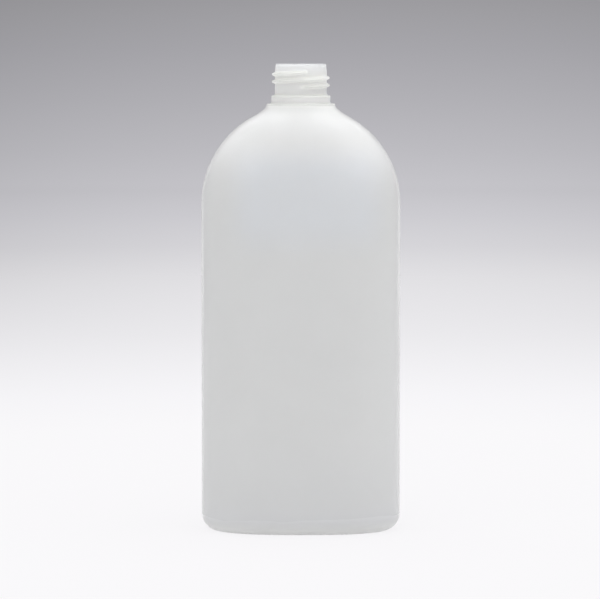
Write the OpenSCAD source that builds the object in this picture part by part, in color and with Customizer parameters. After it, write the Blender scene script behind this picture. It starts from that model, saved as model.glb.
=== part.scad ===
// Oval plastic bottle with round shoulders and a screw neck, blown in one piece and open at the top.
// The origin is the middle of the footprint. The broad front faces -Y and the neck points up, +Z.
// Lengths are in millimetres, angles in degrees.

/* [Body] */
// Width across the broad front
body_w = 81.8; // [72:0.2:92]
// Depth from front to back
body_d = 51; // [46:0.5:60]
// Fullness of the oval seen from above: 2 is a plain ellipse, more fills its corners
fullness = 2.6; // [2:0.05:2.8]
// Height at which the upright wall ends and the shoulder begins
wall_top = 134.4; // [110:0.2:150]
// Thickness of the blown wall
wall = 1; // [0.8:0.05:1.6]

/* [Base] */
// Radius of the rounded heel around the base
heel_r = 6.6; // [4:0.1:8]
// Width of the flat rim that the bottle stands on
foot_w = 3; // [2:0.1:5]
// Height of the hollow pushed up inside that rim
push_up = 3; // [1:0.1:6]

/* [Shoulder] */
// Height of the shoulder, from the upright wall to the collar
shoulder_h = 40.6; // [36:0.2:46]
// Height of the upper part that sweeps round into the collar
sweep_h = 6.1; // [5:0.1:9]
// Angle of the shoulder's arc at which that sweep begins
sweep_angle = 58.2; // [52:0.2:62]
// Half depth of the shoulder where the sweep begins
sweep_depth = 17.2; // [16.4:0.1:20]

/* [Neck] */
// Diameter of the collar at the foot of the neck
collar_d = 28; // [26:0.1:30]
// Height of the collar's upright rim
collar_h = 0.7; // [0.6:0.1:2]
// Bevel on the collar's upper edge
collar_bevel = 0.3; // [0.1:0.05:0.5]
// Diameter of the plain ring above the collar
ring_d = 24.1; // [23.4:0.1:25]
// Height of the ring up to its bevel
ring_h = 3.3; // [2.5:0.1:3.6]
// Height of the bevel from the ring in to the neck
ring_bevel = 1.1; // [0.6:0.1:1.3]
// Diameter of the neck between the threads
neck_d = 21.2; // [20.8:0.05:21.8]
// Height of the neck, from the collar to the lip
neck_h = 16; // [15:0.1:18]
// Diameter at the top of the lip
lip_d = 20.5; // [19.8:0.1:20.6]
// Height of the slight taper below the lip
lip_h = 2.8; // [1.5:0.1:3]
// Radius of the lip's outer edge
lip_r = 0.3; // [0.2:0.05:0.6]
// Bevel around the mouth
mouth_bevel = 0.3; // [0.1:0.05:0.4]
// Diameter of the bore through the neck
bore_d = 17; // [15.4:0.1:17.6]
// Depth of the straight bore below the lip
bore_l = 14.5; // [13:0.1:15]

/* [Thread] */
// Diameter over the thread
thread_d = 23.6; // [22.8:0.1:24.4]
// Rise of the thread in one turn, which is right-handed
pitch = 3; // [2.6:0.1:3.2]
// Number of turns
turns = 2.06; // [1:0.02:2.2]
// Height of the thread's lower end above the collar
thread_z = 6.6; // [6:0.1:7]
// Width of the thread where it meets the neck
thread_w = 2; // [1.4:0.1:2.2]
// Width of the thread's crest
crest_w = 0.6; // [0.3:0.1:0.9]
// Direction of the lower end, counted anticlockwise from +X
thread_from = -96; // [-180:1:180]
// Turn over which each end of the thread runs out
run_out = 10; // [6:1:40]

/* [Hidden] */

$fn = 96;
plastic = [0.87, 0.88, 0.87];

// Sides of the oval skin, and steps along its curved stretches
sides = 72;
push_steps = 4;
heel_steps = 5;
shoulder_steps = 11;
sweep_steps = 7;
edge_steps = 4;
thread_steps = 45;

half_w = body_w / 2;
half_d = body_d / 2;
collar_foot = wall_top + shoulder_h;
collar_top = collar_foot + collar_h;
lip_z = collar_top + neck_h;

// Full height of the shoulder's arc, which the sweep cuts short
arc_h = (shoulder_h - sweep_h) / sin(sweep_angle);

// The cavity narrows to a little less than the bore, so that it meets the bore's wall at an angle
throat_bite = 0.3;
throat_slope = 0.35;
throat_r = bore_d / 2 - throat_bite;
throat_top = lip_z - bore_l + throat_bite / throat_slope;

// How far the neck reaches down into the collar, the bore into the cavity and the thread into the neck
neck_seat = 1.5;
bore_seat = 2;
thread_seat = 0.4;
mouth_reach = 1;

// Point at angle t on an oval: a ring is [height, half width, half depth, fullness]
function oval_point(t, ring) = [
    ring[1] * sign(cos(t)) * pow(abs(cos(t)), 2 / ring[3]),
    ring[2] * sign(sin(t)) * pow(abs(sin(t)), 2 / ring[3]),
    ring[0]
];

function oval_points(ring) = [for (k = [0:sides - 1]) oval_point(360 * k / sides, ring)];

// Smooth curve for u from 0 to 1, with the value and the slope stated at both ends
function smooth(u, start, start_slope, end, end_slope) =
    (1 + 2 * u) * pow(1 - u, 2) * start + u * pow(1 - u, 2) * start_slope
    + u * u * (3 - 2 * u) * end + u * u * (u - 1) * end_slope;

// The oval's corners fade out up the shoulder, so that it is round at the collar
function fullness_at(z) = 2 + (fullness - 2) * max(0, 1 - (z - wall_top) / shoulder_h);

// Half depth of the shoulder at angle a of its arc, and how fast it narrows with height
function depth_at(a) = half_d - (half_d - sweep_depth) * (1 - cos(a)) / (1 - cos(sweep_angle));
function depth_slope(a) =
    (half_d - sweep_depth) * tan(a) / ((1 - cos(sweep_angle)) * arc_h);

// Hollow of the base, as rings from its middle out to the foot; t is the distance inside the skin
function base_rings(t) = [
    for (i = [1:push_steps])
        let (s = i / push_steps, rim = heel_r + foot_w)
        [t + push_up * (1 - s * s), s * (half_w - rim), s * (half_d - rim), fullness]
];

// Heel, from the flat foot up to the wall
function heel_rings(t) = [
    for (i = [0:heel_steps])
        let (a = 90 * i / heel_steps, inset = heel_r - (heel_r - t) * sin(a))
        [heel_r - (heel_r - t) * cos(a), half_w - inset, half_d - inset, fullness]
];

// Shoulder's arc at angle a
function shoulder_ring(a, t) =
    let (z = wall_top + (arc_h - t) * sin(a), s = depth_slope(a))
    [z, (half_w - t) * cos(a), depth_at(a) - t * (sqrt(1 + s * s) - s * sin(a)), fullness_at(z)];

function shoulder_rings(t) = [
    for (i = [0:shoulder_steps]) shoulder_ring(sweep_angle * i / shoulder_steps, t)
];

// Sweep from the shoulder's arc up to a circle of radius r at height top
function sweep_rings(t, r, top, slope) =
    let (
        foot = shoulder_ring(sweep_angle, t),
        h = top - foot[0],
        width_slope = -(half_w - t) / (arc_h - t) * tan(sweep_angle)
    ) [
        for (i = [1:sweep_steps])
            let (u = i / sweep_steps, z = foot[0] + u * h)
            [
                z,
                smooth(u, foot[1], width_slope * h, r, -slope * h),
                smooth(u, foot[2], -depth_slope(sweep_angle) * h, r, -slope * h),
                fullness_at(z)
            ]
    ];

// Points of a quarter circle of radius r about (x, z), from angle 0 to 90
function corner(x, z, r) = [
    for (i = [0:edge_steps]) let (a = 90 * i / edge_steps) [x + r * cos(a), z + r * sin(a)]
];

// Closed skin over a stack of rings, with a point below the first and a flat face on the last
module skin(rings, bottom) {
    function at(row, k) = 1 + row * sides + k % sides;
    last = len(rings) - 1;
    polyhedron(
        points = [[0, 0, bottom], for (ring = rings) each oval_points(ring)],
        faces = [
            for (k = [0:sides - 1]) [0, at(0, k), at(0, k + 1)],
            for (row = [0:last - 1], k = [0:sides - 1])
                each [
                    [at(row, k), at(row + 1, k), at(row + 1, k + 1)],
                    [at(row, k), at(row + 1, k + 1), at(row, k + 1)]
                ],
            [for (k = [sides - 1:-1:0]) at(last, k)]
        ]
    );
}

// Outside of the body, up to the top of the collar
module body_skin() {
    collar_r = collar_d / 2;
    skin(concat(
        base_rings(0),
        heel_rings(0),
        shoulder_rings(0),
        sweep_rings(0, collar_r, collar_foot, 0),
        [
            [collar_top - collar_bevel, collar_r, collar_r, 2],
            [collar_top, collar_r - collar_bevel, collar_r - collar_bevel, 2]
        ]
    ), push_up);
}

// Space inside the body, one wall in from the outside, narrowing to the bore
module cavity() {
    skin(concat(
        base_rings(wall),
        heel_rings(wall),
        shoulder_rings(wall),
        sweep_rings(wall, throat_r, throat_top, throat_slope)
    ), push_up + wall);
}

// Outside of the neck: ring, bevel, plain neck, tapered lip
module neck() {
    ring_top = collar_top + ring_h;
    rotate_extrude()
        polygon(concat(
            [
                [0, collar_top - neck_seat],
                [ring_d / 2, collar_top - neck_seat],
                [ring_d / 2, ring_top],
                [neck_d / 2, ring_top + ring_bevel],
                [neck_d / 2, lip_z - lip_h]
            ],
            corner(lip_d / 2 - lip_r, lip_z - lip_r, lip_r),
            [[0, lip_z]]
        ));
}

// Screw thread, swept round the neck with its foot sunk into it
module thread() {
    neck_r = neck_d / 2;
    depth = thread_d / 2 - neck_r;
    flank = (thread_w - crest_w) / 2 / depth;
    steps = ceil(turns * thread_steps);
    function height(i) =
        let (turned = min(i, steps - i) * turns * 360 / steps)
        depth * min(1, turned / run_out) - thread_seat / 2 * max(0, 1 - turned / run_out);
    function section(i) =
        let (
            a = thread_from + i * turns * 360 / steps,
            z = collar_top + thread_z + i * turns * pitch / steps,
            foot = thread_w / 2 + flank * thread_seat,
            crest = thread_w / 2 - flank * height(i)
        ) [
            for (p = [[-thread_seat, -foot], [height(i), -crest], [height(i), crest], [-thread_seat, foot]])
                [(neck_r + p[0]) * cos(a), (neck_r + p[0]) * sin(a), z + p[1]]
        ];
    corners = len(section(0));
    polyhedron(
        points = [for (i = [0:steps]) each section(i)],
        faces = [
            [for (j = [corners - 1:-1:0]) j],
            for (i = [0:steps - 1], j = [0:corners - 1])
                let (a = i * corners + j, b = i * corners + (j + 1) % corners)
                each [[a, b, b + corners], [a, b + corners, a + corners]],
            [for (j = [0:corners - 1]) steps * corners + j]
        ]
    );
}

// Straight bore through the neck, with a bevelled mouth
module bore() {
    bore_r = bore_d / 2;
    bottom = lip_z - bore_l - bore_seat;
    translate([0, 0, bottom])
        cylinder(h = lip_z + mouth_reach - bottom, r = bore_r);
    translate([0, 0, lip_z - mouth_bevel])
        cylinder(h = mouth_bevel + mouth_reach, r1 = bore_r, r2 = bore_r + mouth_bevel + mouth_reach);
}

module bottle() {
    color(plastic)
        difference() {
            union() {
                body_skin();
                neck();
                thread();
            }
            cavity();
            bore();
        }
}

bottle();
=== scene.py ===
"""Oval plastic bottle with round shoulders and a screw neck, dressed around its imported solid.

The bottle is one blown piece of milky, uncoloured plastic. Its skin is drawn again here with finer
curves, with the faint seam where the mould's halves met and the bar pinched off under its base.
Sizes are in millimetres, and scene objects in metres. +Z is up, and the broad front faces -Y.
"""

import logging
import math
from dataclasses import dataclass, field
from enum import Enum
from typing import Any, NamedTuple, Optional, Sequence, Union

import bpy
import numpy as np
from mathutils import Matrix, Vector


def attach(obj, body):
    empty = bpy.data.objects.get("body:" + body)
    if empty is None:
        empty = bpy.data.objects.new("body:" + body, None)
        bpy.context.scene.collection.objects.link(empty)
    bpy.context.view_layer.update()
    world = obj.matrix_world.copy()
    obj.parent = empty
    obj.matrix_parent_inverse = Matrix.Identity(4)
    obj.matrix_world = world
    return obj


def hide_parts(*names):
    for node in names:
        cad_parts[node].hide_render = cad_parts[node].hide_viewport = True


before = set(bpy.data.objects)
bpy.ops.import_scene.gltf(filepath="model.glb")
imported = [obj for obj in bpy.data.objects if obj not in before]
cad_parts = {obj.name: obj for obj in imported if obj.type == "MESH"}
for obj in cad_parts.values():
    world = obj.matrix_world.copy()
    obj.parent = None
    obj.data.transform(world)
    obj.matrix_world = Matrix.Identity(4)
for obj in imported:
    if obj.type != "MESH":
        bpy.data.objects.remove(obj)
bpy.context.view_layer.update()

log = logging.getLogger("bottle")

MM = 0.001
Colour = tuple[float, float, float]
Span = tuple[float, float]
Settings = dict[str, Any]
Sockets = dict[Union[int, str], Any]


def linear(level: float) -> float:
    """Display level from 0 to 255 in linear light."""
    share = level / 255
    return share / 12.92 if share <= 0.04045 else ((share + 0.055) / 1.055) ** 2.4


def shade(red: float, green: float, blue: float) -> Colour:
    """Display levels from 0 to 255 as a scene colour."""
    return linear(red), linear(green), linear(blue)


class Ray(Enum):
    """The kinds of ray that see the floor and the backdrop, by their output of the light path."""

    CAMERA = "Is Camera Ray"
    GLOSSY = "Is Glossy Ray"
    THROUGH = "Is Transmission Ray"


class Signal:
    """A shader socket that takes part in Python arithmetic, each operator adding its Math node."""

    def __init__(self, wiring: "Wiring", socket: bpy.types.NodeSocket) -> None:
        """Keeps the socket and the tree that it belongs to."""
        self.wiring = wiring
        self.socket = socket

    def math(self, operation: str, first: Any, second: Any = 0.0) -> "Signal":
        """Result of one Math node on two values."""
        return self.wiring.out("ShaderNodeMath", {"operation": operation}, {0: first, 1: second})

    def __add__(self, other: Any) -> "Signal":
        """Sum."""
        return self.math("ADD", self, other)

    def __radd__(self, other: Any) -> "Signal":
        """Sum, reflected."""
        return self.math("ADD", other, self)

    def __sub__(self, other: Any) -> "Signal":
        """Difference."""
        return self.math("SUBTRACT", self, other)

    def __rsub__(self, other: Any) -> "Signal":
        """Difference, reflected."""
        return self.math("SUBTRACT", other, self)

    def __mul__(self, other: Any) -> "Signal":
        """Product."""
        return self.math("MULTIPLY", self, other)

    def __rmul__(self, other: Any) -> "Signal":
        """Product, reflected."""
        return self.math("MULTIPLY", other, self)

    def __truediv__(self, other: Any) -> "Signal":
        """Quotient."""
        return self.math("DIVIDE", self, other)

    def __rtruediv__(self, other: Any) -> "Signal":
        """Quotient, reflected."""
        return self.math("DIVIDE", other, self)

    def __abs__(self) -> "Signal":
        """Absolute value."""
        return self.math("ABSOLUTE", self)

    def at_most(self, other: Any) -> "Signal":
        """The smaller of two values."""
        return self.math("MINIMUM", self, other)


class Wiring:
    """One node tree, emptied and wired up afresh."""

    def __init__(self, owner: Union[bpy.types.Material, bpy.types.World]) -> None:
        """Empties the tree of a material or a world.

        Args:
            owner: The material or world whose nodes are made.
        """
        owner.use_nodes = True
        self.tree = owner.node_tree
        self.tree.nodes.clear()

    def node(
        self, kind: str, settings: Optional[Settings] = None, sockets: Optional[Sockets] = None
    ) -> bpy.types.Node:
        """Adds a node.

        Args:
            kind: Blender's name for the type of node.
            settings: Properties, set first; "stops" fills a ramp.
            sockets: Values or signals for its inputs, by name or number.

        Returns:
            The new node.
        """
        made = self.tree.nodes.new(kind)
        for name, value in (settings or {}).items():
            if name == "stops":
                self._fill_ramp(made.color_ramp, value)
            else:
                setattr(made, name, value)
        for key, value in (sockets or {}).items():
            if isinstance(value, Signal):
                self.tree.links.new(value.socket, made.inputs[key])
            else:
                made.inputs[key].default_value = value
        return made

    @staticmethod
    def _fill_ramp(ramp: bpy.types.ColorRamp, stops: Sequence[tuple[float, Colour]]) -> None:
        """Sets a ramp's stops.

        Args:
            ramp: The ramp of a new node, which holds two stops.
            stops: Place from 0 to 1 and colour of each stop, in order.
        """
        while len(ramp.elements) < len(stops):
            ramp.elements.new(1.0)
        for element, (place, colour) in zip(ramp.elements, stops):
            element.position = place
            element.color = (*colour, 1.0)

    def out(
        self,
        kind: str,
        settings: Optional[Settings] = None,
        sockets: Optional[Sockets] = None,
        output: Union[int, str] = 0,
    ) -> Signal:
        """Adds a node and returns one of its outputs.

        Args:
            kind: Blender's name for the type of node.
            settings: Properties, set first.
            sockets: Values or signals for its inputs.
            output: Name or number of the output.

        Returns:
            The output as a signal.
        """
        return Signal(self, self.node(kind, settings, sockets).outputs[output])

    def blend(self, share: Any, first: Any, second: Any) -> Signal:
        """Blends two colours.

        Args:
            share: How much of the second colour shows, from 0 to 1.
            first: Colour or signal where share is 0.
            second: Colour or signal where share is 1.

        Returns:
            The blended colour.
        """
        ends = [value if isinstance(value, Signal) else (*value, 1.0) for value in (first, second)]
        sockets = {0: share, 6: ends[0], 7: ends[1]}
        return self.out("ShaderNodeMix", {"data_type": "RGBA"}, sockets, 2)

    def scaled(self, colour: Signal, factor: Any) -> Signal:
        """A colour times a number or a signal."""
        sockets = {0: colour, "Scale": factor}
        return self.out("ShaderNodeVectorMath", {"operation": "SCALE"}, sockets)

    def step(self, value: Signal, start: float, end: float) -> Signal:
        """Eases from 0 at start to 1 at end.

        Args:
            value: The signal that is read.
            start: Its value at which the result leaves 0.
            end: Its value at which the result reaches 1.

        Returns:
            The eased result.
        """
        return self.out(
            "ShaderNodeMapRange",
            {"interpolation_type": "SMOOTHSTEP"},
            {"Value": value, "From Min": start, "From Max": end},
        )

    def within(self, value: Signal, span: Span) -> Signal:
        """Eases from 0 at the first to 1 at the second of two lengths in millimetres."""
        return self.step(value, span[0] * MM, span[1] * MM)

    def noise(self, place: Signal, scale: float, detail: float) -> Signal:
        """Noise around 0.5.

        Args:
            place: Vector signal in metres.
            scale: Features to the metre.
            detail: Octaves of finer noise.

        Returns:
            The noise value.
        """
        sockets = {"Vector": place, "Scale": scale, "Detail": detail}
        return self.out("ShaderNodeTexNoise", None, sockets)

    def seen(self) -> Signal:
        """1 for camera, glossy and transmission rays, 0 for light that only falls on things."""
        path = self.node("ShaderNodeLightPath")
        camera, glossy, through = (Signal(self, path.outputs[ray.value]) for ray in Ray)
        return (camera + glossy + through).at_most(1.0)


@dataclass(frozen=True)
class MilkyPlastic:
    """Uncoloured blown plastic: milky, satin, a little yellower where it is thick.
    Its tones by height also hold painted light and shade: painted light at the very foot, at the
    ring and up the neck, and painted shade low on the body, in narrow bands at the collar, ring and
    lip, inside the mouth and on the thread's crests.

    Tones go by height and masks by height or distance, all in millimetres. A mask's two numbers say
    where it leaves 0 and where it reaches 1. A pattern's two are its features to the metre and its
    octaves, and a bump's two are its strength and its depth.
    """

    name: str = "milky_wall"
    # Tones by height: the plastic's own milky tone, a little yellower up the neck, with painted
    # light and shade at the stops marked below.
    tones: tuple[tuple[float, Colour], ...] = (
        # Painted light: paler at the very foot, against the shade that the floor leaves on the
        # heel.
        (0.0, shade(237, 238, 235)),
        # Painted shade: darker and a little bluish low on the body, fading out by 45 mm.
        (6.0, shade(226, 227, 229)),
        (14.0, shade(227, 228, 229)),
        (45.0, shade(232, 233, 233)),
        (168.0, shade(232, 233, 233)),
        # Painted light and shade round the collar: a little darker, then paler just under it, then
        # painted shade on the collar's edge and top, which dims its highlight.
        (173.5, shade(229, 230, 229)),
        (174.3, shade(238, 239, 237)),
        (174.8, shade(246, 247, 244)),
        (175.05, shade(205, 206, 203)),
        (175.45, shade(205, 206, 203)),
        # Painted light: near white up the ring's face, against the shade in the corner between ring
        # and collar.
        (175.6, shade(252, 253, 248)),
        (176.2, shade(255, 255, 250)),
        (178.0, shade(254, 254, 249)),
        # Painted shade: a darker band at the ring's upper edge, which dims its highlight.
        (178.35, shade(215, 216, 210)),
        (178.8, shade(215, 216, 210)),
        # Paler up the neck: a little yellower as the plastic's own tone, and painted light against
        # the shade low on the neck.
        (179.1, shade(254, 254, 249)),
        (182.0, shade(252, 253, 246)),
        (186.0, shade(248, 249, 241)),
        # Painted shade: darker and bluish at the top of the neck, and much darker on the lip's
        # edge, which dims its highlight.
        (189.5, shade(233, 235, 237)),
        (191.0, shade(228, 230, 234)),
        (191.4, shade(160, 162, 165)),
        (191.7, shade(160, 162, 165)),
    )
    # Painted shade on the thread's crests, which dims their highlights.
    crest: Colour = shade(222, 223, 218)
    crest_shade_out: Span = (10.7, 11.6)
    crest_shade_rise: Span = (178.3, 178.6)
    # Painted shade inside the mouth and on the lip's top, against the light that falls into the
    # bore.
    mouth: Colour = shade(210, 212, 215)
    mouth_shade_in: Span = (10.0, 9.6)
    mouth_shade_rise: Span = (189.5, 190.8)
    # A faint bluish patch across the middle of both broad faces, where the shoulder begins, fading
    # out to the sides.
    bluish_patch: Colour = shade(232, 236, 243)
    bluish_patch_middle: float = 3.0
    bluish_patch_side: Span = (36.0, 20.0)
    bluish_patch_rise: Span = (110.0, 132.0)
    bluish_patch_fall: Span = (162.0, 147.0)
    foot_fall: Span = (9.0, 1.0)
    foot_roughness: float = 0.12
    cloud: Span = (45.0, 3.0)
    cloud_step: Span = (0.35, 0.75)
    cloud_roughness: float = 0.08
    mottle: float = 0.015
    grain: Span = (2600.0, 2.0)
    grain_bump: Span = (0.25, 0.02)
    sag: Span = (38.0, 1.0)
    sag_bump: Span = (0.5, 0.25)
    roughness: float = 0.25
    scatter_weight: float = 1.0
    scatter_mm: float = 2.5
    index: float = 1.5

    def material(self) -> bpy.types.Material:
        """Makes the plastic as a procedural material.

        Returns:
            The material, its pattern laid out by the object's own coordinates.
        """
        made = bpy.data.materials.new(self.name)
        wiring = Wiring(made)
        place = wiring.out("ShaderNodeTexCoord", output="Object")
        axes = wiring.node("ShaderNodeSeparateXYZ", None, {0: place})
        across, height = Signal(wiring, axes.outputs["X"]), Signal(wiring, axes.outputs["Z"])
        top = self.tones[-1][0]
        stops = [(level / top, tone) for level, tone in self.tones]
        # The colour by height, which carries the painted light and shade of the tones.
        colour = wiring.out("ShaderNodeValToRGB", {"stops": stops}, {0: height / (top * MM)})
        flat = {0: place, 1: (1, 1, 0)}
        level = wiring.out("ShaderNodeVectorMath", {"operation": "MULTIPLY"}, flat)
        out = wiring.out("ShaderNodeVectorMath", {"operation": "LENGTH"}, {0: level}, "Value")
        # Painted shade: the thread's crests above the ring take the darker crest colour.
        crest = wiring.within(out, self.crest_shade_out) * wiring.within(height, self.crest_shade_rise)
        colour = wiring.blend(crest, colour, self.crest)
        # Painted shade: inside the mouth and on the lip's top.
        mouth = wiring.within(out, self.mouth_shade_in) * wiring.within(height, self.mouth_shade_rise)
        colour = wiring.blend(mouth, colour, self.mouth)
        foot = wiring.within(height, self.foot_fall)
        # The bluish patch, by distance across and by height.
        aside = abs(across - self.bluish_patch_middle * MM)
        bluish_patch = wiring.within(height, self.bluish_patch_rise) * wiring.within(height, self.bluish_patch_fall)
        colour = wiring.blend(bluish_patch * wiring.within(aside, self.bluish_patch_side), colour, self.bluish_patch)
        patterns = (self.cloud, self.grain, self.sag)
        cloud, grain, sag = (wiring.noise(place, *pattern) for pattern in patterns)
        dimmer = wiring.step(cloud, *self.cloud_step) * self.mottle
        colour = wiring.scaled(colour, 1.0 - dimmer)
        relief = self._bump(wiring, self.grain_bump, {"Height": grain})
        normal = self._bump(wiring, self.sag_bump, {"Height": sag, "Normal": relief})
        even = self.roughness - self.cloud_roughness / 2
        shader = wiring.node(
            "ShaderNodeBsdfPrincipled",
            {"subsurface_method": "RANDOM_WALK"},
            {
                "Base Color": colour,
                "Roughness": cloud * self.cloud_roughness + even + foot * self.foot_roughness,
                "IOR": self.index,
                "Subsurface Weight": self.scatter_weight,
                "Subsurface Radius": (1.0, 1.0, 1.0),
                "Subsurface Scale": self.scatter_mm * MM,
                "Normal": normal,
            },
        )
        surface = {"Surface": Signal(wiring, shader.outputs[0])}
        wiring.node("ShaderNodeOutputMaterial", None, surface)
        return made

    @staticmethod
    def _bump(wiring: Wiring, size: Span, sockets: Sockets) -> Signal:
        """Adds a bump of a strength and a depth in millimetres, and returns the bent normal."""
        strength, depth = size
        values = {"Strength": strength, "Distance": depth * MM, **sockets}
        return wiring.out("ShaderNodeBump", None, values, "Normal")


class Section(NamedTuple):
    """A level oval: its height, half width, half depth and fullness, where 2 is an ellipse."""

    height: float
    half_width: float
    half_depth: float
    fullness: float

    def reach(self, angles: np.ndarray) -> np.ndarray:
        """Distance from the axis at each angle."""
        across = np.abs(np.cos(angles) / self.half_width) ** self.fullness
        along = np.abs(np.sin(angles) / self.half_depth) ** self.fullness
        return (across + along) ** (-1 / self.fullness)


class Corner(NamedTuple):
    """A corner of a profile: distance from the axis, height and the radius that rounds it."""

    out: float
    height: float
    radius: float


def rounded(corners: Sequence[Corner], longest: float, steps: int = 5) -> list[tuple[float, float]]:
    """Rounds the corners of an open profile and cuts its straight runs into short pieces.

    Args:
        corners: The profile's corners in order; the first and last stay as they are.
        longest: Longest piece of a straight run.
        steps: Pieces in each rounded corner.

    Returns:
        Points as distance from the axis and height.
    """
    path: list[np.ndarray] = []
    for index, corner in enumerate(corners):
        here = np.array(corner[:2])
        if index in (0, len(corners) - 1) or corner.radius == 0:
            path.append(here)
            continue
        back = np.array(corners[index - 1][:2]) - here
        ahead = np.array(corners[index + 1][:2]) - here
        back, ahead = back / np.linalg.norm(back), ahead / np.linalg.norm(ahead)
        half = math.acos(float(np.clip(back @ ahead, -1, 1))) / 2
        reach = corner.radius / math.tan(half)
        middle = (back + ahead) / np.linalg.norm(back + ahead)
        centre = here + middle * corner.radius / math.sin(half)
        start, end = here + back * reach - centre, here + ahead * reach - centre
        turn = math.pi - 2 * half
        for step in range(steps + 1):
            share = step / steps
            first = math.sin((1 - share) * turn) / math.sin(turn)
            second = math.sin(share * turn) / math.sin(turn)
            path.append(centre + first * start + second * end)
    points = [tuple(path[0])]
    for before, after in zip(path, path[1:]):
        run = after - before
        pieces = max(1, math.ceil(float(np.linalg.norm(run)) / longest))
        points += [tuple(before + run * piece / pieces) for piece in range(1, pieces + 1)]
    return points


def eased(share: np.ndarray) -> np.ndarray:
    """Smooth rise from 0 to 1 for a share that may lie outside that range."""
    share = np.clip(share, 0, 1)
    return share * share * (3 - 2 * share)


def joined(share: float, start: float, start_slope: float, end: float, end_slope: float) -> float:
    """Smooth curve with its value and slope stated at both ends, for a share from 0 to 1."""
    rest = 1 - share
    return (
        (1 + 2 * share) * rest**2 * start
        + share * rest**2 * start_slope
        + share**2 * (3 - 2 * share) * end
        - share**2 * rest * end_slope
    )


@dataclass
class Body:
    """The blown body: pushed-up base, heel, upright wall and the shoulder up to the collar."""

    width: float = 81.8
    depth: float = 51.0
    fullness: float = 2.6
    wall_top: float = 134.4
    wall: float = 1.0
    heel_radius: float = 6.6
    foot_width: float = 3.0
    push_up: float = 3.0
    hollow_power: float = 1.2
    shoulder_height: float = 40.6
    sweep_height: float = 6.1
    sweep_angle: float = math.radians(58.2)
    sweep_depth: float = 17.2
    base_rows: int = 14
    heel_rows: int = 12
    wall_rows: int = 14
    shoulder_rows: int = 34
    sweep_rows: int = 20

    @property
    def collar_foot(self) -> float:
        """Height at which the shoulder ends in the collar."""
        return self.wall_top + self.shoulder_height

    @property
    def arc_height(self) -> float:
        """Full height of the shoulder's arc, which the sweep cuts short."""
        return (self.shoulder_height - self.sweep_height) / math.sin(self.sweep_angle)

    def fullness_at(self, height: float) -> float:
        """Fullness of the oval, which fades out up the shoulder."""
        rise = (height - self.wall_top) / self.shoulder_height
        return 2 + (self.fullness - 2) * min(1.0, max(0.0, 1 - rise))

    def _base(self, inset: float) -> list[Section]:
        """Sections of the hollow base, from its middle out.

        Args:
            inset: Distance inside the outer skin.

        Returns:
            The sections, the last one at the foot.
        """
        rim = self.heel_radius + self.foot_width
        made = []
        for row in range(1, self.base_rows + 1):
            share = row / self.base_rows
            made.append(
                Section(
                    inset + self.push_up * (1 - share * share) ** self.hollow_power,
                    share * (self.width / 2 - rim),
                    share * (self.depth / 2 - rim),
                    self.fullness,
                )
            )
        return made

    def _heel(self, inset: float) -> list[Section]:
        """Sections of the heel, from the flat foot up to the wall.

        Args:
            inset: Distance inside the outer skin.

        Returns:
            The sections.
        """
        radius = self.heel_radius - inset
        made = []
        for row in range(self.heel_rows + 1):
            turn = math.pi / 2 * row / self.heel_rows
            back = self.heel_radius - radius * math.sin(turn)
            height = self.heel_radius - radius * math.cos(turn)
            made.append(
                Section(height, self.width / 2 - back, self.depth / 2 - back, self.fullness)
            )
        return made

    def _wall(self, inset: float) -> list[Section]:
        """Sections of the upright wall between heel and shoulder."""
        rise = (self.wall_top - self.heel_radius) / self.wall_rows
        half_width, half_depth = self.width / 2 - inset, self.depth / 2 - inset
        return [
            Section(self.heel_radius + rise * row, half_width, half_depth, self.fullness)
            for row in range(1, self.wall_rows)
        ]

    def _depth_slope(self, turn: float) -> float:
        """How fast the shoulder's half depth shrinks with height at an angle of its arc."""
        drop = self.depth / 2 - self.sweep_depth
        return drop * math.tan(turn) / ((1 - math.cos(self.sweep_angle)) * self.arc_height)

    def _arc(self, turn: float, inset: float) -> Section:
        """Section of the shoulder at an angle of its arc.

        Args:
            turn: Angle of the arc, 0 at the wall.
            inset: Distance inside the outer skin.

        Returns:
            The section.
        """
        height = self.wall_top + (self.arc_height - inset) * math.sin(turn)
        fall = (1 - math.cos(turn)) / (1 - math.cos(self.sweep_angle))
        depth = self.depth / 2 - (self.depth / 2 - self.sweep_depth) * fall
        slope = self._depth_slope(turn)
        depth -= inset * (math.hypot(1, slope) - slope * math.sin(turn))
        half_width = (self.width / 2 - inset) * math.cos(turn)
        return Section(height, half_width, depth, self.fullness_at(height))

    def _sweep(self, inset: float, radius: float, top: float, slope: float) -> list[Section]:
        """Sections from the shoulder's arc up to a circle.

        Args:
            inset: Distance inside the outer skin.
            radius: Radius of the circle.
            top: Height of the circle.
            slope: How fast the circle's radius shrinks with height there.

        Returns:
            The sections.
        """
        foot = self._arc(self.sweep_angle, inset)
        rise = top - foot.height
        flatness = (self.width / 2 - inset) / (self.arc_height - inset)
        narrowing = flatness * math.tan(self.sweep_angle)
        thinning = self._depth_slope(self.sweep_angle)
        made = []
        for row in range(1, self.sweep_rows + 1):
            share = row / self.sweep_rows
            height = foot.height + share * rise
            made.append(
                Section(
                    height,
                    joined(share, foot.half_width, -narrowing * rise, radius, -slope * rise),
                    joined(share, foot.half_depth, -thinning * rise, radius, -slope * rise),
                    self.fullness_at(height),
                )
            )
        return made

    def sections(self, inset: float, radius: float, top: float, slope: float) -> list[Section]:
        """All sections of the skin or of the space inside it, from the base's middle upwards.

        Args:
            inset: Distance inside the outer skin.
            radius: Radius of the circle that the shoulder ends in.
            top: Height of that circle.
            slope: How fast the radius shrinks with height there.

        Returns:
            The sections in order.
        """
        arc = [
            self._arc(self.sweep_angle * row / self.shoulder_rows, inset)
            for row in range(self.shoulder_rows + 1)
        ]
        return (
            self._base(inset)
            + self._heel(inset)
            + self._wall(inset)
            + arc
            + self._sweep(inset, radius, top, slope)
        )


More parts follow.
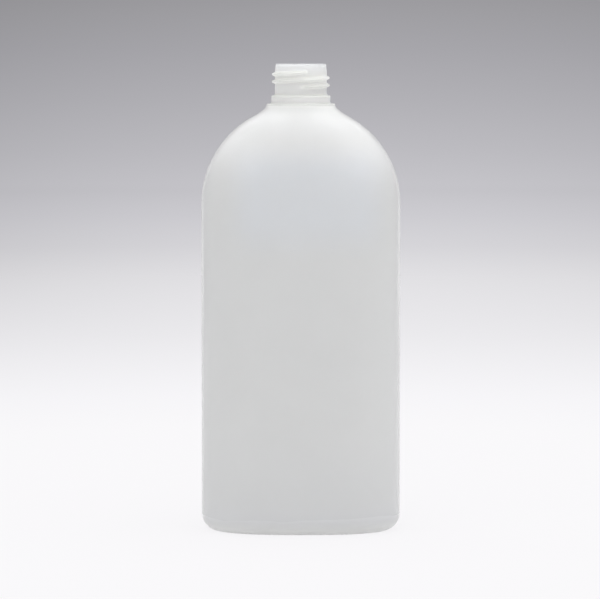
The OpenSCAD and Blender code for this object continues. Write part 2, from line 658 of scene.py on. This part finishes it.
@dataclass
class Neck:
    """Collar, plain ring, slightly tapered neck and the bore through them."""

    foot: float = 175.0
    collar_radius: float = 14.0
    collar_height: float = 0.4
    ring_radius: float = 12.05
    ring_height: float = 3.3
    ring_bevel: float = 1.4
    radius: float = 10.6
    height: float = 16.3
    lip_radius: float = 10.25
    lip_height: float = 2.8
    bore_radius: float = 8.5
    bore_length: float = 14.5
    bore_rows: int = 8
    collar_edge: float = 0.25
    ring_fillet: float = 0.8
    ring_edge: float = 0.2
    ring_rise: float = 0.2
    neck_fillet: float = 1.0
    neck_run: float = 0.4
    taper_radius: float = 2.0
    lip_edge: float = 0.2
    mouth_edge: float = 0.3
    mouth_depth: float = 0.6
    low_piece: float = 0.4
    high_piece: float = 0.1

    @property
    def collar_top(self) -> float:
        """Height of the collar's upper face."""
        return self.foot + self.collar_height

    @property
    def lip(self) -> float:
        """Height of the lip."""
        return self.collar_top + self.height

    def outside(self) -> list[tuple[float, float]]:
        """Profile from the collar's foot to the mouth, as distance from the axis and height."""
        ring_top = self.collar_top + self.ring_height
        bevel_top = ring_top + self.ring_bevel
        low = rounded(
            [
                Corner(self.collar_radius, self.foot, 0),
                Corner(self.collar_radius, self.collar_top, self.collar_edge),
                Corner(self.ring_radius, self.collar_top, self.ring_fillet),
                Corner(self.ring_radius, ring_top, self.ring_edge),
                Corner(self.radius, ring_top + self.ring_rise, self.neck_fillet),
                Corner(self.radius, bevel_top + self.neck_run, 0),
            ],
            self.low_piece,
        )
        high = rounded(
            [
                Corner(*low[-1], 0),
                Corner(self.radius, self.lip - self.lip_height, self.taper_radius),
                Corner(self.lip_radius, self.lip, self.lip_edge),
                Corner(self.bore_radius, self.lip, self.mouth_edge),
                Corner(self.bore_radius, self.lip - self.mouth_depth, 0),
            ],
            self.high_piece,
        )
        return low[1:] + high[1:]

    def bore(self) -> list[tuple[float, float]]:
        """Profile down the straight bore, as distance from the axis and height."""
        top, bottom = self.lip - self.mouth_depth, self.lip - self.bore_length
        return [
            (self.bore_radius, top - (top - bottom) * row / self.bore_rows)
            for row in range(1, self.bore_rows + 1)
        ]


@dataclass
class Thread:
    """Right-hand screw thread with a rounded trapezoid section."""

    start: float = math.radians(-96.0)
    low: float = 182.12
    pitch: float = 3.0
    turns: float = 2.06
    foot_width: float = 2.0
    crest_width: float = 0.6
    depth: float = 1.2
    run_in: float = math.radians(26.0)
    run_out: float = math.radians(7.0)
    softness: float = 0.05

    def relief(self, angles: np.ndarray, height: float) -> np.ndarray:
        """How far the thread stands out of the neck.

        Args:
            angles: Angles around the neck.
            height: The level that is asked about.

        Returns:
            The relief at each angle.
        """
        length = self.turns * math.tau
        flank = (self.foot_width - self.crest_width) / 2
        most = np.zeros_like(angles)
        for turn in range(-1, math.ceil(self.turns) + 2):
            along = (angles - self.start) % math.tau + turn * math.tau
            off = np.abs(height - (self.low + self.pitch * along / math.tau))
            rise = eased(np.minimum(along / self.run_in, (length - along) / self.run_out))
            side = np.clip((self.foot_width / 2 - off) / flank, 0, 1)
            side = side - self.softness * np.sin(math.tau * side)
            most = np.maximum(most, self.depth * rise * side)
        return most


@dataclass
class Seam:
    """Faint line where the mould's halves met, down both narrow sides and across the base."""

    width: float = 0.3
    height: float = 0.09
    fade: float = math.radians(24.0)
    bar_length: float = 46.0
    bar_width: float = 1.1
    bar_height: float = 0.5
    bar_slope: float = 0.35
    bar_end: float = 2.0

    def ridge(self, across: np.ndarray, front: np.ndarray) -> np.ndarray:
        """How far the skin lies inside its full outline beside the seam.

        Args:
            across: Distance from the plane between the mould's halves.
            front: Angle from the narrow side.

        Returns:
            The inset, which is 0 on the seam's crest.
        """
        beside = eased(1 - front / self.fade)
        crest = eased(1 - across / (self.width / 2))
        return self.height * beside * (1 - crest)

    def bar(self, across: np.ndarray, along: np.ndarray) -> np.ndarray:
        """How far the pinched-off bar hangs from the base.

        Args:
            across: Distance from the plane between the mould's halves.
            along: Distance from the middle of the base along the bar.

        Returns:
            The bar's height at each point.
        """
        sides = eased((self.bar_width / 2 + self.bar_slope / 2 - across) / self.bar_slope)
        ends = eased((self.bar_length / 2 - along) / self.bar_end)
        return self.bar_height * sides * ends


@dataclass
class Bottle:
    """The whole bottle as one closed skin, outside and inside, with three finishes of one plastic.

    Light goes further through the thick neck than through the wall, and less far at the ring.
    """

    body: Body = field(default_factory=Body)
    neck: Neck = field(default_factory=Neck)
    thread: Thread = field(default_factory=Thread)
    seam: Seam = field(default_factory=Seam)
    wall_finish: MilkyPlastic = MilkyPlastic()
    neck_finish: MilkyPlastic = MilkyPlastic(name="milky_neck", scatter_mm=10.0, roughness=0.36)
    ring_finish: MilkyPlastic = MilkyPlastic(name="milky_ring", scatter_mm=6.0, roughness=0.36)
    columns: int = 232
    throat_bite: float = 0.3
    throat_slope: float = 0.35
    throat_gap: float = 0.2
    beside_seam: tuple[float, ...] = (0.0018, 0.0036, 0.006, 0.009, 0.014)
    thread_wall: float = 1.0
    finish_wall: float = 0.9
    ring_gap: float = 0.02
    ring_until: float = 177.2

    def _angles(self) -> np.ndarray:
        """Angles of the columns, closer together beside the seam."""
        even = np.arange(self.columns) * math.tau / self.columns
        close = np.array(self.beside_seam)
        extra = np.concatenate([close, -close, math.pi + close, math.pi - close])
        return np.unique(np.round(np.concatenate([even, extra]) % math.tau, 9))

    def _outside(self, angles: np.ndarray) -> list[tuple[np.ndarray, np.ndarray]]:
        """Rows of the outer skin, from the middle of the base to the mouth.

        Args:
            angles: Angles of the columns.

        Returns:
            Distance from the axis and height of each point, row by row.
        """
        front = np.abs((angles + math.pi / 2) % math.pi - math.pi / 2)
        rows = []
        skin = self.body.sections(0.0, self.neck.collar_radius, self.body.collar_foot, 0.0)
        for number, section in enumerate(skin):
            reach = section.reach(angles)
            across = np.abs(reach * np.sin(angles))
            height = np.full_like(reach, section.height)
            if number < self.body.base_rows:
                height -= self.seam.bar(across, np.abs(reach * np.cos(angles)))
            else:
                reach = reach - self.seam.ridge(across, front)
            rows.append((reach, height))
        for out, level in self.neck.outside():
            threaded = out > self.neck.bore_radius + self.thread_wall
            reach = np.full_like(angles, out) + self.thread.relief(angles, level) * threaded
            inset = self.seam.ridge(np.abs(reach * np.sin(angles)), front)
            rows.append((reach - inset, np.full_like(angles, level)))
        return rows

    def _inside(self, angles: np.ndarray) -> list[tuple[np.ndarray, np.ndarray]]:
        """Rows of the inner skin, from the mouth down to the middle of the base.

        Args:
            angles: Angles of the columns.

        Returns:
            Distance from the axis and height of each point, row by row.
        """
        bottom = self.neck.lip - self.neck.bore_length
        top = bottom + self.throat_bite / self.throat_slope
        radius = self.neck.bore_radius - self.throat_bite
        rows = [
            (np.full_like(angles, out), np.full_like(angles, level))
            for out, level in self.neck.bore()
        ]
        space = self.body.sections(self.body.wall, radius, top, self.throat_slope)
        for section in reversed(space):
            if section.height < bottom - self.throat_gap:
                rows.append((section.reach(angles), np.full_like(angles, section.height)))
        return rows

    def build(self) -> bpy.types.Object:
        """Builds the bottle's mesh and dresses it.

        Returns:
            The bottle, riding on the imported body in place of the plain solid.
        """
        angles = self._angles()
        rows = self._outside(angles) + self._inside(angles)
        count, total = len(angles), len(rows)
        points = np.array(
            [
                np.stack([reach * np.cos(angles), reach * np.sin(angles), height], axis=1)
                for reach, height in rows
            ]
        ).reshape(-1, 3)
        low = [0.0, 0.0, self.body.push_up - self.seam.bar_height]
        high = [0.0, 0.0, self.body.push_up + self.body.wall]
        points = np.vstack([points, low, high]) * MM
        first = np.arange(count)
        after = (first + 1) % count
        starts = np.arange(total - 1)[:, None] * count
        quads = np.stack(
            [starts + first, starts + after, starts + count + after, starts + count + first], axis=2
        ).reshape(-1, 4)
        last = (total - 1) * count
        bottom = [(len(points) - 2, int(b), int(a)) for a, b in zip(first, after)]
        floor = [(last + int(a), last + int(b), len(points) - 1) for a, b in zip(first, after)]
        mesh = bpy.data.meshes.new("bottle_skin")
        mesh.from_pydata(points.tolist(), [], quads.tolist() + bottom + floor)
        mesh.shade_smooth()
        made = bpy.data.objects.new("bottle_skin", mesh)
        bpy.context.scene.collection.objects.link(made)
        self._dress(mesh)
        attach(made, "root")
        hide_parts("bottle")
        log.info("%s: %d points, %d faces", made.name, len(mesh.vertices), len(mesh.polygons))
        return made

    def _dress(self, mesh: bpy.types.Mesh) -> None:
        """Gives the skin its finishes: 0 on the wall, 1 on the neck and 2 at the ring's foot.

        Args:
            mesh: The bottle's mesh.
        """
        for finish in (self.wall_finish, self.neck_finish, self.ring_finish):
            mesh.materials.append(finish.material())
        middles = np.empty(len(mesh.polygons) * 3)
        mesh.polygons.foreach_get("center", middles)
        across, along, height = (middles.reshape(-1, 3) / MM).T
        on_neck = height > self.neck.foot
        on_neck &= np.hypot(across, along) > self.neck.bore_radius + self.finish_wall
        on_ring = on_neck & (height > self.neck.collar_top + self.ring_gap)
        on_ring &= height < self.ring_until
        mesh.polygons.foreach_set("material_index", on_neck.astype(np.int32) + on_ring)


class Lamp(NamedTuple):
    """A soft rectangular lamp: its name, where it hangs, its width and depth, and its watts."""

    name: str
    at: tuple[float, float, float]
    size: tuple[float, float]
    power: float


@dataclass
class Studio:
    """Pale floor, plain backdrop, soft lamps and the camera, in metres.

    The floor's tones go by distance from the bottle, and the backdrop's by their share of its span,
    whose ends say how far a line of sight one metre long rises.
    """

    floor_radius: float = 3.2
    floor_sides: int = 128
    floor_tones: tuple[tuple[float, Colour], ...] = (
        (0.0, shade(248, 247, 249)),
        (0.36, shade(249, 248, 250)),
        (0.51, shade(247, 246, 249)),
        (0.9, shade(237, 236, 239)),
        (1.49, shade(225, 224, 227)),
        (1.92, shade(214, 213, 217)),
        (2.52, shade(205, 204, 209)),
        (3.2, shade(197, 196, 201)),
    )
    backdrop_span: Span = (-0.0412, 0.0157)
    backdrop_tones: tuple[tuple[float, Colour], ...] = (
        (0.0, shade(197, 196, 201)),
        (0.185, shade(189, 188, 193)),
        (0.46, shade(178, 177, 182)),
        (0.74, shade(167, 166, 171)),
        (0.96, shade(159, 158, 162)),
        (1.0, shade(157, 156, 160)),
    )
    paper: Colour = shade(240, 240, 240)
    pale_at: float = 0.02
    pale_reach: float = 0.114
    pale_fall: float = 0.11
    pale_from: Span = (0.1, 2.0)
    far_from: Span = (0.5, 1.5)
    haze: float = 0.9
    table: float = 0.335
    light: float = 0.245
    lamps: tuple[Lamp, ...] = (
        Lamp("sky", (0.0, 0.1, 0.75), (2.2, 1.6), 8.8),
        Lamp("over", (0.0, 0.05, 0.95), (0.8, 0.6), 2.1),
        Lamp("front", (0.0, -0.75, 0.9), (2.4, 0.8), 6.4),
        Lamp("right", (0.7, -0.1, 0.95), (0.5, 0.8), 1.0),
    )
    rims: tuple[Lamp, ...] = (
        Lamp("rim_left", (-0.46, 0.9, 0.15), (0.36, 0.5), 0.225),
        Lamp("rim_right", (0.46, 0.9, 0.15), (0.36, 0.5), 0.225),
    )
    lit: tuple[float, float, float] = (0.0, 0.0, 0.14)
    lens: float = 190.0
    clip: Span = (0.05, 50.0)
    camera_at: tuple[float, float, float] = (-0.00035, -1.3, 0.1964)
    looks_at: tuple[float, float, float] = (-0.00035, 0.0, 0.0949)

    def paler(self, wiring: Wiring, fade: Signal, aside: Signal, share: Any) -> Signal:
        """Darkens the backdrop to both sides, so that it is palest behind the bottle.

        Args:
            wiring: The tree that is wired.
            fade: The backdrop's colour straight behind the bottle.
            aside: Slope of the line of sight to the side.
            share: How much of the darkening shows, from 0 to 1.

        Returns:
            The backdrop's colour.
        """
        off = (aside - self.pale_at) / self.pale_reach
        return wiring.scaled(fade, 1.0 - (off * off).at_most(1.0) * share * self.pale_fall)

    def world(self) -> None:
        """Even light from all round, and the backdrop's fade from pale to grey seen behind."""
        world = bpy.data.worlds.new("studio")
        bpy.context.scene.world = world
        wiring = Wiring(world)
        direction = wiring.out("ShaderNodeTexCoord", output="Generated")
        axes = wiring.node("ShaderNodeSeparateXYZ", None, {0: direction})
        x, y, height = (Signal(wiring, axes.outputs[name]) for name in "XYZ")
        low, high = self.backdrop_span
        stops = {"stops": self.backdrop_tones}
        fade = wiring.out("ShaderNodeValToRGB", stops, {0: (height - low) / (high - low)})
        tone = self.paler(wiring, fade, x / abs(y), 1.0)
        behind = wiring.out("ShaderNodeBackground", None, {"Color": tone})
        even = {"Color": (1, 1, 1, 1), "Strength": self.light}
        around = wiring.out("ShaderNodeBackground", None, even)
        both = wiring.out("ShaderNodeMixShader", None, {0: wiring.seen(), 1: around, 2: behind})
        wiring.node("ShaderNodeOutputWorld", None, {"Surface": both})

    def floor(self) -> bpy.types.Object:
        """Makes the round pale floor, which fades to grey far from the bottle.

        Returns:
            The floor.
        """
        radius, sides = self.floor_radius, self.floor_sides
        turns = np.arange(sides) * math.tau / sides
        points = [(radius * math.cos(turn), radius * math.sin(turn), 0.0) for turn in turns]
        mesh = bpy.data.meshes.new("floor")
        mesh.from_pydata(points, [], [tuple(range(sides))])
        made = bpy.data.objects.new("floor", mesh)
        bpy.context.scene.collection.objects.link(made)
        material = bpy.data.materials.new("pale_paper")
        wiring = Wiring(material)
        place = wiring.out("ShaderNodeTexCoord", output="Object")
        away = wiring.out("ShaderNodeVectorMath", {"operation": "LENGTH"}, {0: place}, "Value")
        axes = wiring.node("ShaderNodeSeparateXYZ", None, {0: place})
        x, y = (Signal(wiring, axes.outputs[name]) for name in "XY")
        stops = {"stops": [(reach / radius, tone) for reach, tone in self.floor_tones]}
        fade = wiring.out("ShaderNodeValToRGB", stops, {0: away / radius})
        aside = x / (abs(y) - self.camera_at[1])
        pale = self.paler(wiring, fade, aside, wiring.step(away, *self.pale_from))
        glow = wiring.out("ShaderNodeEmission", None, {"Color": pale})
        paper = wiring.out("ShaderNodeBsdfDiffuse", None, {"Color": (*self.paper, 1.0)})
        seen = wiring.seen()
        far = wiring.step(away, *self.far_from)
        share = seen * (self.haze + far * (1 - self.haze)) + (1 - seen) * self.table
        both = wiring.out("ShaderNodeMixShader", None, {0: share, 1: paper, 2: glow})
        wiring.node("ShaderNodeOutputMaterial", None, {"Surface": both})
        mesh.materials.append(material)
        return made

    def hang(self, lamp: Lamp) -> None:
        """Hangs a lamp so that it points at the bottle.

        Args:
            lamp: The lamp.
        """
        data = bpy.data.lights.new(f"lamp_{lamp.name}", "AREA")
        data.shape = "RECTANGLE"
        data.size, data.size_y = lamp.size
        data.energy = lamp.power
        made = bpy.data.objects.new(data.name, data)
        made.visible_camera = False
        made.location = lamp.at
        aim = Vector(self.lit) - Vector(lamp.at)
        made.rotation_euler = aim.to_track_quat("-Z", "Y").to_euler()
        bpy.context.scene.collection.objects.link(made)

    def camera(self) -> None:
        """Sets up the camera at the photograph's angle."""
        data = bpy.data.cameras.new("camera")
        data.lens = self.lens
        data.clip_start, data.clip_end = self.clip
        made = bpy.data.objects.new("camera", data)
        made.location = self.camera_at
        aim = Vector(self.looks_at) - Vector(self.camera_at)
        made.rotation_euler = aim.to_track_quat("-Z", "Y").to_euler()
        bpy.context.scene.collection.objects.link(made)
        bpy.context.scene.camera = made

    def build(self) -> None:
        """Builds the whole studio."""
        bpy.context.scene.view_settings.view_transform = "Standard"
        self.world()
        self.floor()
        for lamp in self.lamps + self.rims:
            self.hang(lamp)
        self.camera()
        log.info("studio ready")


def main() -> None:
    """Builds the bottle and the studio around it."""
    logging.basicConfig(level=logging.INFO, format="%(name)s: %(message)s")
    Bottle().build()
    Studio().build()


if __name__ == "__main__":
    main()
